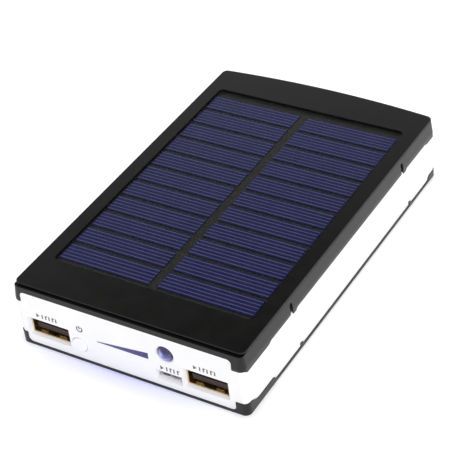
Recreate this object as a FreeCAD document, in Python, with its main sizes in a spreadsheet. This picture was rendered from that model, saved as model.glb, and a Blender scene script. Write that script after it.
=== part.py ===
import FreeCAD, Part

# Solar power bank. A white mid frame carries five cells and a circuit board. A black cover snaps
# on from above and holds the solar panel in its window, and another snaps on from below.
# +X runs across the case, +Y from the port wall to the far end, +Z up through the panel.
# The origin is on the underside, at the middle of the whole outline. Lengths are millimetres.

import math
import os
import re

import Sketcher

SIZES = (
    # case
    ("width", 75.0, "case across the long sides"),
    ("port_y", -60.3, "covers' edge at the port end"),
    ("far_y", 58.7, "covers' corners at the far end"),
    ("bow", 2.1, "how far the far end swells out between its corners"),
    ("height", 21.4, "underside to top plate"),
    ("corner", 1.9, "upright corner radius of the covers"),
    ("corner_least", 0.3, "least radius of the corners inside"),
    ("cover_wall", 1.0, "wall of both covers"),
    ("gap", 0.05, "clearance between fitted pieces"),
    # top cover
    ("plate_web", 19.8, "underside of the top plate"),
    ("plate_low", 20.9, "lower edge of the raised plate"),
    ("skirt_top", 20.5, "top of the skirt, where the shadow groove starts"),
    ("plate_in", 0.35, "plate edge behind the skirt, long sides"),
    ("plate_in_port", 1.33, "plate edge behind the skirt, port end"),
    ("plate_in_far", 0.4, "plate edge behind the skirt, far end"),
    ("plate_corner", 1.9, "corner radius of the raised plate"),
    ("groove", 0.35, "depth of the shadow groove behind the plate edge"),
    ("edge_round", 0.3, "rounding of the plate's top edge"),
    ("taper_rise", 3.9, "height of the skirt's sloping stretch"),
    ("taper_in", 0.45, "how far the skirt leans in over that height"),
    ("rim_low", 15.5, "skirt's lower edge along the long sides"),
    ("leg_low", 14.9, "skirt's lower edge at the corner legs"),
    ("brow_low", 18.9, "skirt's lower edge across both ends"),
    ("leg_x", 34.4, "inner edge of the corner legs at the ends"),
    ("leg_shift", -0.65, "middle of the space between the legs"),
    ("leg_port", 15.7, "lower edge of the corner legs on the port wall"),
    ("brow_round", 1.4, "radius from a leg into the end's edge"),
    ("port_leg", -47.2, "end of the long corner legs at the port end"),
    ("far_leg", 53.3, "start of the short corner legs at the far end"),
    ("leg_slope", 2.0, "length of the curve from a leg to the rim"),
    ("foot_slope", 2.3, "length of the curve from a low leg to the lip"),
    ("window_x", 32.45, "half width of the panel window"),
    ("window_port", -46.35, "window edge at the port end"),
    ("window_far", 47.9, "window edge at the far end"),
    ("window_round", 1.5, "corner radius of the window"),
    ("ledge", 0.8, "plate left over the panel's border"),
    # snap hooks
    ("hook_port", -33.8, "slot beside the hooks near the port end"),
    ("hook_far", 35.7, "slot beside the hooks near the far end"),
    ("slot_half", 0.7, "half width of the slot"),
    ("slot_top", 18.4, "height of the slot's straight sides"),
    ("tongue", 2.4, "width of the hook's tongue"),
    ("barb", 0.5, "how far a hook's barb reaches in"),
    ("barb_tall", 0.55, "height of a barb"),
    ("barb_long", 1.3, "length of a barb"),
    ("barb_low", 15.8, "underside of the top cover's barbs"),
    ("latch_low", 15.6, "lower edge of the frame's latch windows"),
    ("latch_top", 18.9, "upper edge of the frame's latch windows"),
    ("lower_barb", 1.3, "underside of the bottom cover's barbs"),
    ("latch_room", 0.1, "room round a lower barb in its window"),
    # bottom cover
    ("floor", 0.8, "floor of the bottom cover"),
    ("lip", 0.95, "bottom cover's edge along the long sides"),
    ("foot_side", 2.25, "bottom cover's corner legs along the long sides"),
    ("foot_end", 4.05, "bottom cover's corner legs at the port end"),
    ("foot_y", -59.0, "where a leg starts to fall from the port end"),
    ("port_foot", -46.4, "end of the low corner legs at the port end"),
    ("far_foot", 54.6, "start of the low corner legs at the far end"),
    ("foot_fall", 5.5, "length of that fall"),
    ("foot_round", 1.5, "radius from a leg into the floor's edge"),
    ("bump", 2.0, "height of the small ramps under the hooks"),
    ("bump_port", -30.6, "ramp near the port end"),
    ("bump_far", 39.5, "ramp near the far end"),
    ("bump_long", 2.4, "length of a ramp"),
    ("under_round", 0.15, "rounding of the underside's edge"),
    ("cradle_wide", 1.2, "thickness of the ribs between the cells"),
    ("cradle_tall", 2.6, "height of those ribs above the floor"),
    ("cradle_half", 27.0, "half length of those ribs"),
    # mid frame
    ("white_in", 0.3, "frame's face behind the covers' edges"),
    ("frame_wall", 1.7, "frame wall"),
    ("frame_top", 19.75, "frame's upper edge"),
    ("bulkhead", -38.3, "wall between board and cells, port side"),
    ("bulkhead_wall", 1.1, "thickness of that wall"),
    ("bulkhead_half", 32.2, "half length of that wall, short of the wires"),
    ("bulkhead_top", 19.2, "upper edge of that wall"),
    # ports
    ("usb_left", -26.95, "centre of the left full-size socket"),
    ("usb_right", 24.8, "centre of the right full-size socket"),
    ("usb_wide", 13.1, "socket shell across"),
    ("usb_tall", 5.7, "socket shell height"),
    ("usb_wall", 0.3, "socket shell thickness"),
    ("usb_mouth", -58.9, "mouth of the full-size sockets"),
    ("usb_back", -45.0, "back of the full-size sockets"),
    ("usb_room", 0.1, "room around a socket shell in the wall"),
    ("flare", 0.5, "how far a port's funnel opens out"),
    ("flare_deep", 1.0, "depth of a port's funnel"),
    ("micro_x", 12.65, "centre of the small charging socket"),
    ("micro_wide", 7.6, "small socket across"),
    ("micro_tall", 2.5, "small socket height"),
    ("micro_wall", 0.25, "small socket shell thickness"),
    ("micro_mouth", -58.6, "mouth of the small socket"),
    ("micro_back", -53.4, "back of the small socket"),
    ("micro_low", 3.4, "underside of the small socket, sunk into the board's edge"),
    # board
    ("board_low", 2.9, "underside of the circuit board"),
    ("board_top", 4.1, "top of the circuit board"),
    ("board_half", 34.8, "half width of the circuit board"),
    ("board_port", -58.0, "board edge at the port wall"),
    ("board_back", -39.0, "board edge at the bulkhead"),
    ("screw_x", 30.5, "outer board screws from the middle"),
    ("screw_y", -41.6, "row of board screws"),
    ("screw_shank", 0.95, "radius of a screw's thread"),
    ("screw_head", 1.75, "radius of a screw's head"),
    ("head_tall", 1.2, "height of a screw's head"),
    ("lug", 2.2, "radius of a screw lug"),
    ("screw_tip", 1.2, "lowest point of a screw"),
    # power button and its switch
    ("button_x", -16.6, "centre of the power button"),
    ("button_z", 5.8, "height of the power button"),
    ("button", 2.4, "radius of the button's cap"),
    ("button_room", 0.15, "gap round the cap"),
    ("button_face", -60.5, "front of the button"),
    ("button_flange", 3.0, "radius of the flange that keeps the button in"),
    ("flange_thick", 0.7, "thickness of that flange"),
    ("stem", 1.1, "radius of the switch's plunger"),
    ("stem_room", 0.06, "running clearance of the plunger"),
    ("stem_end", -55.4, "inner end of the plunger"),
    ("switch_front", -56.5, "front of the switch"),
    ("switch_back", -53.4, "back of the switch"),
    ("switch_half", 3.0, "half width of the switch"),
    # torch and level light
    ("torch_x", 12.4, "centre of the torch lamp"),
    ("torch_z", 12.9, "height of the torch lamp"),
    ("torch", 2.5, "radius of the torch lamp"),
    ("torch_tip", -60.8, "front of the torch lamp"),
    ("torch_room", 0.15, "gap round the torch lamp"),
    ("torch_back", -52.2, "back of the torch lamp"),
    ("torch_flange", 2.9, "radius of the torch lamp's flange"),
    ("torch_pitch", 2.54, "distance between the torch lamp's legs"),
    ("wire_leg", 0.25, "half thickness of the torch lamp's legs"),
    ("wedge_tip", -10.2, "thin end of the level light"),
    ("wedge_end", 6.75, "thick end of the level light"),
    ("wedge_low", 9.2, "lower edge of the level light"),
    ("wedge_tall", 2.2, "height of the level light's thick end"),
    ("wedge_thin", 0.2, "height of the level light's thin end"),
    ("guide_thick", 0.8, "thickness of the light guide's flange"),
    ("guide_half", 6.8, "half width of the light guide's leg"),
    ("guide_low", 5.3, "lower end of the light guide"),
    # cells
    ("cell", 9.15, "radius of a cell"),
    ("cell_long", 64.5, "cell without its raised terminal"),
    ("cell_left", -32.6, "negative end of the cells"),
    ("cell_first", -27.05, "cell next to the bulkhead"),
    ("cell_pitch", 18.45, "distance from cell to cell"),
    ("cell_low", 0.85, "underside of the cells"),
    ("terminal", 2.75, "radius of a cell's raised terminal"),
    ("terminal_tall", 0.7, "height of a cell's raised terminal"),
    ("ring", 8.4, "radius of a cell's insulating ring"),
    ("ring_bore", 3.4, "bore of that ring"),
    ("ring_thick", 0.2, "thickness of that ring"),
    ("strip", 0.15, "thickness of the nickel strips"),
    ("strip_half", 4.0, "half width of the nickel strips"),
    ("sheet_x", 34.9, "insulating sheets from the middle"),
    ("sheet_thick", 0.25, "thickness of the insulating sheets"),
    # solar panel
    ("panel_half", 33.4, "half width of the panel's backing"),
    ("panel_border", 1.2, "panel under the window's edge, at both ends"),
    ("panel_low", 19.7, "underside of the panel's backing"),
    ("panel_top", 20.5, "top of the panel's backing"),
    ("wafer", 0.2, "thickness of the solar wafers"),
    ("laminate", 0.2, "thickness of the clear laminate"),
    ("wafer_edge", 31.85, "outer edge of the wafers"),
    ("spine_left", -1.65, "bare strip down the middle, left edge"),
    ("spine_right", 1.3, "bare strip down the middle, right edge"),
    ("wafer_start", -44.3, "first wafer row"),
    ("wafer_pitch", 8.19, "distance from row to row"),
    ("wafer_tall", 6.95, "wafer along the case"),
    # wires
    ("wire", 0.65, "radius of the wires"),
)
WAFER_ROWS = 11
CELLS = 5
HOOKS = ("hook_port", "hook_far")
RAMPS = ("bump_port", "bump_far")
USB_TABS = ("usb_mouth + 6.5", "usb_back - 3")
SCREW_ROW = ("-screw_x", "0", "screw_x")
WIRE_TURN = 0.45     # share of the shorter run that a wire's bend takes up

doc = FreeCAD.newDocument("SolarPowerBank")
sheet = doc.addObject("Spreadsheet::Sheet", "Sizes")
for row, (alias, size, note) in enumerate(SIZES, start=1):
    sheet.set("A%d" % row, alias)
    sheet.set("B%d" % row, str(size))
    sheet.set("C%d" % row, note)
    sheet.setAlias("B%d" % row, alias)
doc.recompute()

SIZE_NAMES = {alias for alias, size, note in SIZES}
PARTS = []


# ---------------------------------------------------------------- formulas

def formula(text):
    """A formula on size names, with each name pointed at its cell."""
    def cell(match):
        return "Sizes." + match.group(0) if match.group(0) in SIZE_NAMES else match.group(0)
    return re.sub(r"[a-z][a-z_]*", cell, str(text))


def value(text):
    """What a formula comes to now, in millimetres."""
    return float(sheet.evalExpression(formula(text)))


def bind(thing, name, text):
    thing.setExpression(name, formula(text))


# ---------------------------------------------------------------- sketches and features

AXIS_OF_PLANE = {"XY_Plane": "z", "XZ_Plane": "y", "YZ_Plane": "x"}


def new_body(name):
    return doc.addObject("PartDesign::Body", name)


def new_sketch(body, role, at, *outlines):
    """A sketch on one of the body's planes, moved to `at` along that plane's world axis."""
    sketch = body.newObject("Sketcher::SketchObject", body.Name + "_sketch")
    plane = [item for item in body.Origin.OriginFeatures if item.Role == role][0]
    sketch.AttachmentSupport = [(plane, "")]
    sketch.MapMode = "FlatFace"
    sign = "-" if role == "XZ_Plane" else ""
    bind(sketch, "AttachmentOffset.Base.z", "%s(%s)" % (sign, at))
    for outline in outlines:
        if isinstance(outline, tuple):
            add_circle(sketch, *outline)
        else:
            add_outline(sketch, outline)
    return sketch


def pin(sketch, kind, number, end, text):
    """Hold one coordinate of a point at a formula."""
    index = sketch.addConstraint(Sketcher.Constraint(kind, -1, 1, number, end, value(text)))
    bind(sketch, "Constraints[%d]" % index, text)


def hold_radius(sketch, number, text):
    index = sketch.addConstraint(Sketcher.Constraint("Radius", number, value(text)))
    bind(sketch, "Constraints[%d]" % index, text)


def add_circle(sketch, across, up, radius):
    centre = FreeCAD.Vector(value(across), value(up), 0)
    number = sketch.addGeometry(Part.Circle(centre, FreeCAD.Vector(0, 0, 1), value(radius)), False)
    hold_radius(sketch, number, radius)
    pin(sketch, "DistanceX", number, 3, across)
    pin(sketch, "DistanceY", number, 3, up)


def add_outline(sketch, steps):
    """One closed outline. A step is (x, y) for a line to that point, or (x, y, radius, side) for
    an arc to it, which swells to the left (+1) or the right (-1) of its chord."""
    points = [FreeCAD.Vector(value(step[0]), value(step[1]), 0) for step in steps]
    ends = []
    for index, step in enumerate(steps):
        start = points[index - 1]
        finish = points[index]
        if len(step) == 2:
            curve = Part.LineSegment(start, finish)
        else:
            chord = finish - start
            radius = value(step[2])
            swell = radius - math.sqrt(radius ** 2 - chord.Length ** 2 / 4)
            across = FreeCAD.Vector(-chord.y, chord.x, 0).normalize()
            curve = Part.Arc(start, (start + finish) * 0.5 + across * (swell * step[3]), finish)
        number = sketch.addGeometry(curve, False)
        at_start = 1 if (sketch.getPoint(number, 1) - start).Length < 1e-6 else 2
        ends.append((number, at_start, 3 - at_start))
    for index, step in enumerate(steps):
        number, at_start, at_end = ends[index]
        following, its_start, its_end = ends[(index + 1) % len(steps)]
        joined = Sketcher.Constraint("Coincident", number, at_end, following, its_start)
        sketch.addConstraint(joined)
        pin(sketch, "DistanceX", number, at_end, step[0])
        pin(sketch, "DistanceY", number, at_end, step[1])
        if len(step) > 2:
            hold_radius(sketch, number, step[2])


def solid_feature(kind, sketch, length, turned):
    body = sketch.getParentGeoFeatureGroup()
    before = body.Shape.Volume if body.Tip else 0.0
    feature = body.newObject("PartDesign::" + kind, body.Name + "_" + kind.lower())
    feature.Profile = sketch
    feature.Reversed = turned
    bind(feature, "Length", length)
    doc.recompute()
    change = body.Shape.Volume - before
    if (change <= 0) == (kind == "Pad"):
        raise RuntimeError("%s on %s changes the volume by %.3f" % (kind, body.Name, change))
    return feature


def add(sketch, length):
    """Pad a sketch towards +X, +Y or +Z."""
    return solid_feature("Pad", sketch, length, is_port_plane(sketch))


def carve(sketch, length):
    """Pocket a sketch towards +X, +Y or +Z."""
    return solid_feature("Pocket", sketch, length, not is_port_plane(sketch))


def is_port_plane(sketch):
    return sketch.AttachmentSupport[0][0].Role == "XZ_Plane"


def dress(body, kind, chosen, **sizes):
    """Fillet or chamfer the edges of the body so far that `chosen` picks."""
    base = body.Tip
    names = ["Edge%d" % number for number, edge in enumerate(base.Shape.Edges, start=1) if chosen(edge)]
    if not names:
        raise RuntimeError("no edge to dress on " + body.Name)
    feature = body.newObject("PartDesign::" + kind, body.Name + "_" + kind.lower())
    feature.Base = (base, names)
    if "Size2" in sizes:
        feature.ChamferType = "Two distances"
    for name, text in sizes.items():
        bind(feature, name, text)
    doc.recompute()
    return feature


def loft(body, kind, first, second):
    """A ruled loft between two sketches with as many sides."""
    before = body.Shape.Volume
    feature = body.newObject("PartDesign::" + kind, body.Name + "_loft")
    feature.Profile = first
    feature.Sections = [second]
    feature.Ruled = True
    doc.recompute()
    if (body.Shape.Volume <= before) == (kind == "AdditiveLoft"):
        raise RuntimeError("the loft on %s does nothing" % body.Name)
    return feature


def turn(sketch):
    """Turn a sketch a full round about its body's Y axis."""
    body = sketch.getParentGeoFeatureGroup()
    feature = body.newObject("PartDesign::Revolution", body.Name + "_turned")
    feature.Profile = sketch
    feature.ReferenceAxis = (sketch, ["V_Axis"])
    feature.Angle = 360
    doc.recompute()
    return feature


# ---------------------------------------------------------------- picking edges

def is_upright(edge):
    box = edge.BoundBox
    return box.XLength < 1e-4 and box.YLength < 1e-4


def is_level(edge, z):
    box = edge.BoundBox
    return abs(box.ZMin - z) < 1e-3 and abs(box.ZMax - z) < 1e-3


def within(edge, x, y):
    """True where the edge's middle lies inside half sizes x and y."""
    middle = edge.BoundBox.Center
    return abs(middle.x) < x and abs(middle.y) < y


# ---------------------------------------------------------------- outlines

def case_outline(side, port, far, corner):
    """The case's plan with round corners, drawn in by the given amounts from its sides and ends.
    The far end is one large arc, and its corner arcs are tangent to it and to the sides."""
    half = "(width / 2 - (%s))" % side
    sag = "(bow * (%s / (width / 2)) ^ 2)" % half
    large = "((%s ^ 2 + %s ^ 2) / (2 * %s))" % (half, sag, sag)
    centre_y = "(far_y + bow - (%s) - %s)" % (far, large)
    across = "(%s - (%s))" % (half, corner)
    along = "sqrt((%s - (%s)) ^ 2 - %s ^ 2)" % (large, corner, across)
    grown = "%s / (%s - (%s))" % (large, large, corner)
    meet_x = "%s * %s" % (across, grown)
    meet_y = "%s + %s * %s" % (centre_y, along, grown)
    side_y = "%s + %s" % (centre_y, along)
    port_edge = "port_y + (%s)" % port
    port_side = "%s + (%s)" % (port_edge, corner)
    return [(across, port_edge), (half, port_side, corner, -1), (half, side_y), (meet_x, meet_y, corner, -1),
            ("-" + meet_x, meet_y, large, -1), ("-" + half, side_y, corner, -1),
            ("-" + half, port_side), ("-" + across, port_edge, corner, -1)]


def even_outline(inset):
    return case_outline(inset, inset, inset, "max(corner_least; corner - (%s))" % inset)


def rectangle(low_x, high_x, low_y, high_y):
    return [(low_x, low_y), (high_x, low_y), (high_x, high_y), (low_x, high_y)]


def centred(across, up, half_across, half_up):
    return rectangle("(%s) - (%s)" % (across, half_across), "(%s) + (%s)" % (across, half_across),
                     "(%s) - (%s)" % (up, half_up), "(%s) + (%s)" % (up, half_up))


def s_curve(start, finish):
    """Two equal arcs from one level to another, level at both ends."""
    run = "((%s) - (%s))" % (finish[0], start[0])
    rise = "((%s) - (%s))" % (finish[1], start[1])
    radius = "(%s ^ 2 + %s ^ 2) / (4 * abs(%s))" % (run, rise, rise)
    middle = ["((%s) + (%s)) / 2" % (start[axis], finish[axis]) for axis in (0, 1)]
    side = -1 if value(run) * value(rise) > 0 else 1
    return [(middle[0], middle[1], radius, side), (finish[0], finish[1], radius, -side)]


def end_outline(edge, radius, beyond, drop):
    """The space between two corner legs at an end: a straight edge that turns into both legs."""
    turn_z = "(%s) + (%s)" % (edge, radius) if value(beyond) > value(edge) else "(%s) - (%s)" % (edge, radius)
    side = 1 if value(beyond) > value(edge) else -1
    left, right = ["(leg_shift %s (leg_x - (%s)))" % (sign, drop) for sign in "-+"]
    return [(left, beyond), (left, turn_z), ("%s + (%s)" % (left, radius), edge, radius, -side),
            ("%s - (%s)" % (right, radius), edge), (right, turn_z, radius, -side), (right, beyond)]


def rim_outline(drop, slots):
    """What lies below the top cover's skirt, seen from the side. `drop` lowers the whole line."""
    low = "leg_low - %s" % drop
    rim = "rim_low - %s" % drop
    under = "leg_low - 2"
    steps = [("port_y - 4", under), ("port_y - 4", "leg_port - %s" % drop),
             ("port_y + 0.4", "leg_port - %s" % drop)]
    steps += s_curve(steps[-1], ("port_y + 0.4 + leg_slope", low)) + [("port_leg + %s" % drop, low)]
    steps += s_curve(steps[-1], ("port_leg + leg_slope + %s" % drop, rim))
    for hook in HOOKS:
        left = "%s - slot_half" % hook
        right = "%s + slot_half - %s" % (hook, drop)
        if slots:
            steps += [(left, rim), (left, "slot_top"), (right, "slot_top", "slot_half * 1.001", 1)]
        else:
            steps += [(right, rim)]
        steps += [(right, low), ("%s + tongue * 0.6 + 2 * %s" % (right, drop), low)]
        steps += s_curve(steps[-1], ("%s + tongue + 2 * %s" % (right, drop), rim))
    steps += [("far_leg - leg_slope - %s" % drop, rim)]
    steps += s_curve(steps[-1], ("far_leg - %s" % drop, low))
    return steps + [("far_leg - %s" % drop, under)]


def lip_outline(rise):
    """What lies above the bottom cover's lip, seen from the side. `rise` lifts the whole line."""
    top = "foot_end + 4"
    end = "foot_end + %s" % rise
    foot = "foot_side + %s" % rise
    lip = "lip + %s" % rise
    steps = [("port_y - 4", top), ("port_y - 4", end), ("foot_y", end)]
    steps += s_curve(steps[-1], ("foot_y + foot_fall", foot))
    steps += [("port_foot", foot)]
    steps += s_curve(steps[-1], ("port_foot + foot_slope", lip))
    for ramp in RAMPS:
        steps += [("%s - %s" % (ramp, rise), lip), ("%s - %s" % (ramp, rise), "bump + %s" % rise),
                  ("%s + 0.3" % ramp, "bump + %s" % rise)]
        steps += s_curve(steps[-1], ("%s + bump_long" % ramp, lip))
    steps += [("far_foot - foot_slope", lip)]
    steps += s_curve(steps[-1], ("far_foot", foot))
    return steps + [("far_y + bow + 4", foot), ("far_y + bow + 4", top)]


# ---------------------------------------------------------------- primitives

def place(thing, x, y, z):
    for axis, text in (("x", x), ("y", y), ("z", z)):
        bind(thing, "Placement.Base." + axis, text)


def block(name, x, y, z):
    """A box from three pairs of formulas, each the low and the high side."""
    box = doc.addObject("Part::Box", name)
    for side, (low, high) in zip(("Length", "Width", "Height"), (x, y, z)):
        bind(box, side, "(%s) - (%s)" % (high, low))
    place(box, x[0], y[0], z[0])
    return box


TURNED_TO = {
    "x": FreeCAD.Rotation(FreeCAD.Vector(0, 1, 0), 90),
    "y": FreeCAD.Rotation(FreeCAD.Vector(1, 0, 0), -90),
    "z": FreeCAD.Rotation(),
}


def rod(name, axis, start, length, radius):
    """A cylinder that runs from `start`, three formulas, towards +X, +Y or +Z."""
    cylinder = doc.addObject("Part::Cylinder", name)
    cylinder.Placement = FreeCAD.Placement(FreeCAD.Vector(), TURNED_TO[axis])
    bind(cylinder, "Radius", radius)
    bind(cylinder, "Height", length)
    place(cylinder, *start)
    return cylinder


def join(name, *things):
    joined = doc.addObject("Part::MultiFuse", name)
    joined.Shapes = list(things)
    return joined


def take(name, base, *tools):
    """The base with every tool cut out of it."""
    cut = doc.addObject("Part::Cut", name)
    cut.Base = base
    cut.Tool = tools[0] if len(tools) == 1 else join(name + "_tools", *tools)
    return cut


def group(name, things):
    """Several separate solids as one node."""
    gathered = doc.addObject("Part::Compound", name)
    gathered.Links = list(things)
    return gathered


def keep(thing, name, solids=1):
    """Give a finished sub-part its name and note how many solids it has."""
    thing.Label = name
    PARTS.append((thing, name, solids))
    return thing


# ---------------------------------------------------------------- covers

def make_top_cover():
    body = new_body("top_cover")
    widest = "skirt_top - taper_rise"
    add(new_sketch(body, "XY_Plane", "leg_low", even_outline("0")), "%s - leg_low" % widest)
    loft(body, "AdditiveLoft", new_sketch(body, "XY_Plane", widest, even_outline("0")),
         new_sketch(body, "XY_Plane", "skirt_top", even_outline("taper_in")))
    neck = case_outline("plate_in + groove", "plate_in_port + groove", "plate_in_far + groove",
                        "plate_corner - groove")
    add(new_sketch(body, "XY_Plane", "skirt_top", neck), "plate_low - skirt_top")
    raised = case_outline("plate_in", "plate_in_port", "plate_in_far", "plate_corner")
    add(new_sketch(body, "XY_Plane", "plate_low", raised), "height - plate_low")
    dress(body, "Fillet", lambda edge: is_level(edge, value("height")), Radius="edge_round")
    carve(new_sketch(body, "XY_Plane", "leg_low - 1", even_outline("cover_wall")), "plate_web - leg_low + 1")
    rebate = rectangle("-panel_half - 0.2", "panel_half + 0.2",
                       "window_port - panel_border - 0.2", "window_far + panel_border + 0.2")
    carve(new_sketch(body, "XY_Plane", "plate_web - 1", rebate), "height - ledge - plate_web + 1")
    window = rectangle("-window_x", "window_x", "window_port", "window_far")
    carve(new_sketch(body, "XY_Plane", "plate_web", window), "height - plate_web + 1")
    dress(body, "Fillet", lambda edge: is_upright(edge) and edge.BoundBox.ZMax > value("height") - 0.01
          and within(edge, value("window_x + 0.01"), 50), Radius="window_round")
    cut_skirt(body, "0", True)
    for hook in HOOKS:
        add_barbs(body, "%s + slot_half + 0.2" % hook, "barb_low")
    return keep(body, "top_cover")


def cut_skirt(body, drop, slots):
    """Shape the skirt's lower edge: along the long sides, then across both ends."""
    carve(new_sketch(body, "YZ_Plane", "-width / 2 - 2", rim_outline(drop, slots)), "width + 4")
    brow = end_outline("brow_low - %s" % drop, "brow_round", "leg_low - 2", drop)
    carve(new_sketch(body, "XZ_Plane", "port_y - 3", brow), "6")
    carve(new_sketch(body, "XZ_Plane", "far_y - 3", brow), "8")


def add_barbs(body, start, low):
    """A pair of barbs, one in each long wall, that latch in the frame's windows."""
    barb = rectangle(start, "%s + barb_long" % start, low, "%s + barb_tall" % low)
    inner = "width / 2 - cover_wall - barb"
    add(new_sketch(body, "YZ_Plane", inner, barb), "barb + 0.2")
    add(new_sketch(body, "YZ_Plane", "-(%s) - barb - 0.2" % inner, barb), "barb + 0.2")


def make_bottom_cover():
    body = new_body("bottom_cover")
    add(new_sketch(body, "XY_Plane", "0", even_outline("0")), "foot_end")
    dress(body, "Fillet", lambda edge: is_level(edge, 0), Radius="under_round")
    carve(new_sketch(body, "XY_Plane", "floor", even_outline("cover_wall")), "foot_end")
    cut_lip(body, "0")
    for index in range(1, CELLS):
        rib = centred("0", "cell_first + (%d - 0.5) * cell_pitch" % index, "cradle_half", "cradle_wide / 2")
        add(new_sketch(body, "XY_Plane", "floor - 0.2", rib), "cradle_tall + 0.2")
    for ramp in RAMPS:
        add_barbs(body, ramp, "lower_barb")
    return keep(body, "bottom_cover")


def cut_lip(body, rise):
    """Shape the lip's upper edge: along the long sides, then across both ends."""
    carve(new_sketch(body, "YZ_Plane", "-width / 2 - 2", lip_outline(rise)), "width + 4")
    step = end_outline("floor + %s" % rise, "foot_round", "foot_end + 4", rise)
    carve(new_sketch(body, "XZ_Plane", "port_y - 3", step), "6")
    carve(new_sketch(body, "XZ_Plane", "far_y - 3", step), "8")


# ---------------------------------------------------------------- mid frame

def make_skirt_room():
    """The space that the top cover's skirt needs around the frame."""
    body = new_body("skirt_room")
    add(new_sketch(body, "XY_Plane", "leg_low - gap", even_outline("-0.2")), "height - leg_low")
    carve(new_sketch(body, "XY_Plane", "leg_low - 2", even_outline("cover_wall + gap")), "height")
    cut_skirt(body, "gap", False)
    return body


def make_lip_room():
    """The space that the bottom cover's lip needs around the frame."""
    body = new_body("lip_room")
    add(new_sketch(body, "XY_Plane", "0", even_outline("-0.2")), "foot_end + gap")
    carve(new_sketch(body, "XY_Plane", "-1", even_outline("cover_wall + gap")), "height")
    cut_lip(body, "gap")
    return body


def carve_funnel(body, x, z, wide, tall):
    """A port's opening, which flares towards the outside of the port wall."""
    carve(new_sketch(body, "XZ_Plane", "port_y - 1", centred(x, z, wide + " / 2", tall + " / 2")), "5")
    face = "port_y + white_in"
    wider = centred(x, z, "%s / 2 + flare" % wide, "%s / 2 + flare / 2" % tall)
    narrow = centred(x, z, "%s / 2" % wide, "%s / 2" % tall)
    loft(body, "SubtractiveLoft", new_sketch(body, "XZ_Plane", face, wider),
         new_sketch(body, "XZ_Plane", "%s + flare_deep" % face, narrow))


def make_mid_frame(skirt_room, lip_room):
    body = new_body("frame_body")
    inner = even_outline("white_in + frame_wall")
    low = "floor + gap"
    add(new_sketch(body, "XY_Plane", low, even_outline("white_in")), "frame_top - floor - gap")
    carve(new_sketch(body, "XY_Plane", "floor - 1", inner), "height")
    wall = rectangle("-bulkhead_half", "bulkhead_half", "bulkhead", "bulkhead + bulkhead_wall")
    add(new_sketch(body, "XY_Plane", low, wall), "bulkhead_top - floor - gap")
    ends = [rectangle("-width / 2 + 1.5", "-bulkhead_half + 0.5", "bulkhead", "bulkhead + bulkhead_wall"),
            rectangle("bulkhead_half - 0.5", "width / 2 - 1.5", "bulkhead", "bulkhead + bulkhead_wall")]
    add(new_sketch(body, "XY_Plane", low, *ends), "4")
    add_board_supports(body, low)
    carve_ports(body)
    carve_latches(body)
    return keep(take("mid_frame", body, skirt_room, lip_room), "mid_frame")


def add_board_supports(body, low):
    """A ledge along the port wall and three screw lugs along the bulkhead."""
    ledges = [rectangle("-board_half", "usb_left + 5.5", "port_y + 1", "board_port + 0.8"),
              rectangle("-11", "board_half", "port_y + 1", "board_port + 0.8")]
    add(new_sketch(body, "XY_Plane", "board_low - 1.2", *ledges), "1.2 - gap")
    for x in SCREW_ROW:
        web = rectangle("(%s) - 1.5" % x, "(%s) + 1.5" % x, "screw_y", "bulkhead + 0.5")
        add(new_sketch(body, "XY_Plane", low, web), "board_low - floor - 2 * gap")
        add(new_sketch(body, "XY_Plane", low, (x, "screw_y", "lug")), "board_low - floor - 2 * gap")
        carve(new_sketch(body, "XY_Plane", "screw_tip - 0.1", (x, "screw_y", "screw_shank + 0.02")), "4")


def carve_ports(body):
    usb_z = "board_top + usb_tall / 2"
    for x in ("usb_left", "usb_right"):
        carve_funnel(body, x, usb_z, "(usb_wide + 2 * usb_room)", "(usb_tall + 2 * usb_room)")
    carve_funnel(body, "micro_x", "micro_low + micro_tall / 2",
                 "(micro_wide + 2 * usb_room)", "(micro_tall + 2 * usb_room)")
    holes = (("button_x", "button_z", "button + button_room"), ("torch_x", "torch_z", "torch + torch_room"))
    for hole in holes:
        carve(new_sketch(body, "XZ_Plane", "port_y - 1", hole), "5")
    front = value("port_y + white_in")
    dress(body, "Chamfer", lambda edge: abs(edge.BoundBox.Center.y - front) < 1e-3
          and edge.BoundBox.YLength < 1e-3 and abs(edge.BoundBox.Center.x - value("torch_x")) < 0.1
          and abs(edge.BoundBox.Center.z - value("torch_z")) < 0.1, Size="0.3")
    carve(new_sketch(body, "XZ_Plane", "port_y - 1", wedge_outline("gap")), "5")


def wedge_outline(room):
    """The level light's face: a thin end on the left that grows to a thick one on the right."""
    thin = "wedge_low + wedge_thin + %s" % room
    return [("wedge_tip - %s" % room, "wedge_low - %s" % room),
            ("wedge_end + %s" % room, "wedge_low - %s" % room),
            ("wedge_end + %s" % room, "wedge_low + wedge_tall + %s" % room),
            ("wedge_tip - %s" % room, thin)]


def carve_latches(body):
    """Windows in the long walls that the covers' barbs latch in."""
    windows = [rectangle("%s - slot_half - 0.2" % hook, "%s + slot_half + tongue" % hook,
                         "latch_low", "latch_top") for hook in HOOKS]
    windows += [rectangle("%s - latch_room" % ramp, "%s + barb_long + latch_room" % ramp,
                          "lower_barb - latch_room", "lower_barb + barb_tall + latch_room") for ramp in RAMPS]
    carve(new_sketch(body, "YZ_Plane", "-width / 2 - 1", *windows), "width + 2")


# ---------------------------------------------------------------- solar panel

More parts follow.
